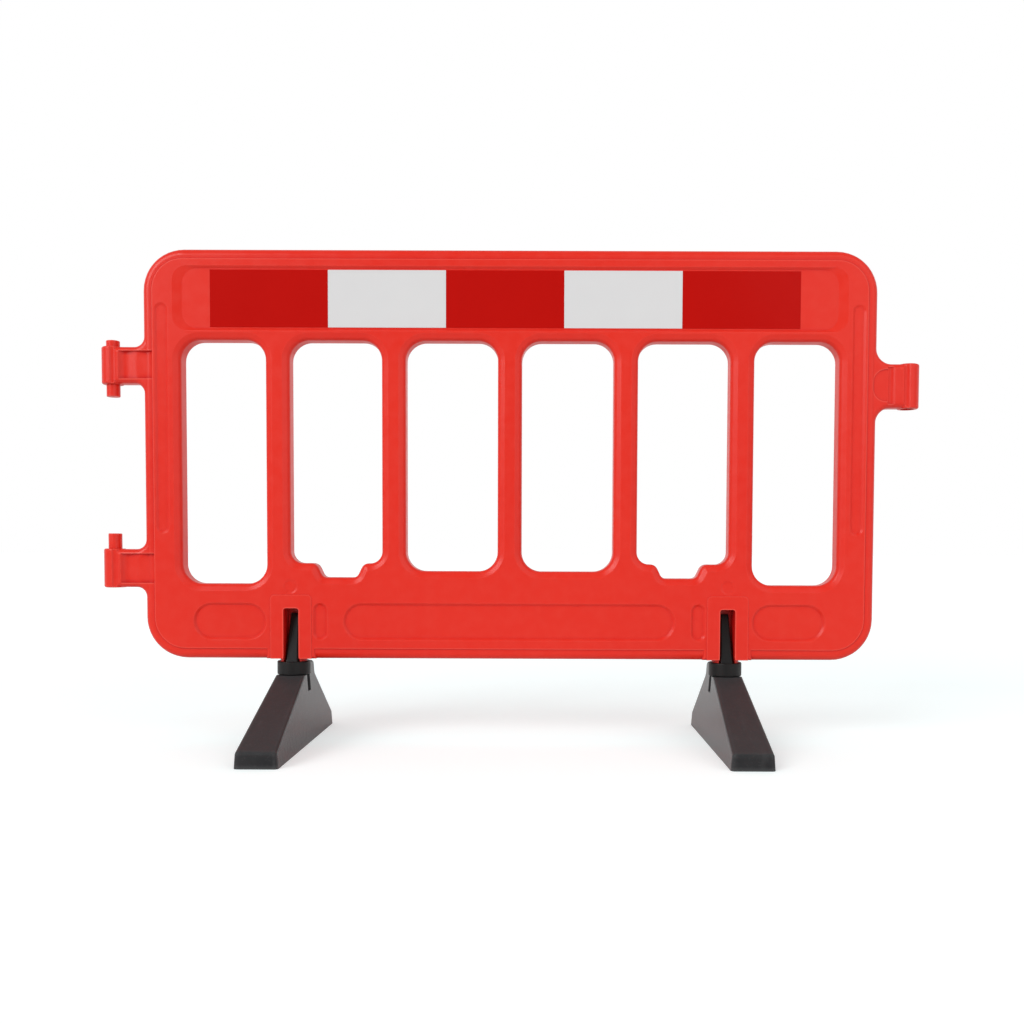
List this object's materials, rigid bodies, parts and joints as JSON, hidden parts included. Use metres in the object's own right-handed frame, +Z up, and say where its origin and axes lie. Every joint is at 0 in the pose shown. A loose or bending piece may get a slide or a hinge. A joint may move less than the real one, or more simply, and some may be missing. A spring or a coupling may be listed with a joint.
{
  "type": "traffic barrier panel",
  "caption": "Linking pedestrian traffic barrier: red moulded panel with windows, reflective strip, hinge pins and knuckle at the sides, on black swivel feet.",
  "frame": {"origin": "on the floor, in the middle of the box around panel and feet", "axes": "+X along the panel towards the bored knuckle, +Y from the long foot ends to the short ones, +Z up"},
  "size_m": [1.67, 0.475, 1],
  "materials": {
    "red_plastic": "moulded, satin",
    "red_pin": "moulded, satin",
    "reflective_red": "glossy self-adhesive reflective sheet",
    "reflective_white": "glossy self-adhesive reflective sheet",
    "black_plastic": "moulded, satin",
    "zinc_steel": "zinc plated",
    "black_rubber": "recycled rubber, matt"
  },
  "bodies": {
    "panel": {"panel_shell": "red_plastic", "upper_hinge_pin": "red_pin", "lower_hinge_pin": "red_pin", "front_sheet_1": "reflective_red", "front_sheet_2": "reflective_white", "front_sheet_3": "reflective_red", "front_sheet_4": "reflective_white", "front_sheet_5": "reflective_red", "rear_sheet_1": "reflective_red", "rear_sheet_2": "reflective_white", "rear_sheet_3": "reflective_red", "rear_sheet_4": "reflective_white", "rear_sheet_5": "reflective_red", "left_swivel_post": "black_plastic", "right_swivel_post": "black_plastic", "left_post_washer": "zinc_steel", "right_post_washer": "zinc_steel", "left_post_screw": "zinc_steel", "right_post_screw": "zinc_steel"},
    "left_foot": {"left_foot": "black_rubber"},
    "right_foot": {"right_foot": "black_rubber"}
  },
  "joints": [
    {"name": "left_foot_swivel", "type": "hinge", "parent": "panel", "child": "left_foot", "pos_m": [-0.446, 0.0475, 0.1], "axis": [0, 0, 1], "range_deg": [-90, 90]},
    {"name": "right_foot_swivel", "type": "hinge", "parent": "panel", "child": "right_foot", "pos_m": [0.446, 0.0475, 0.1], "axis": [0, 0, 1], "range_deg": [-90, 90]}
  ]
}
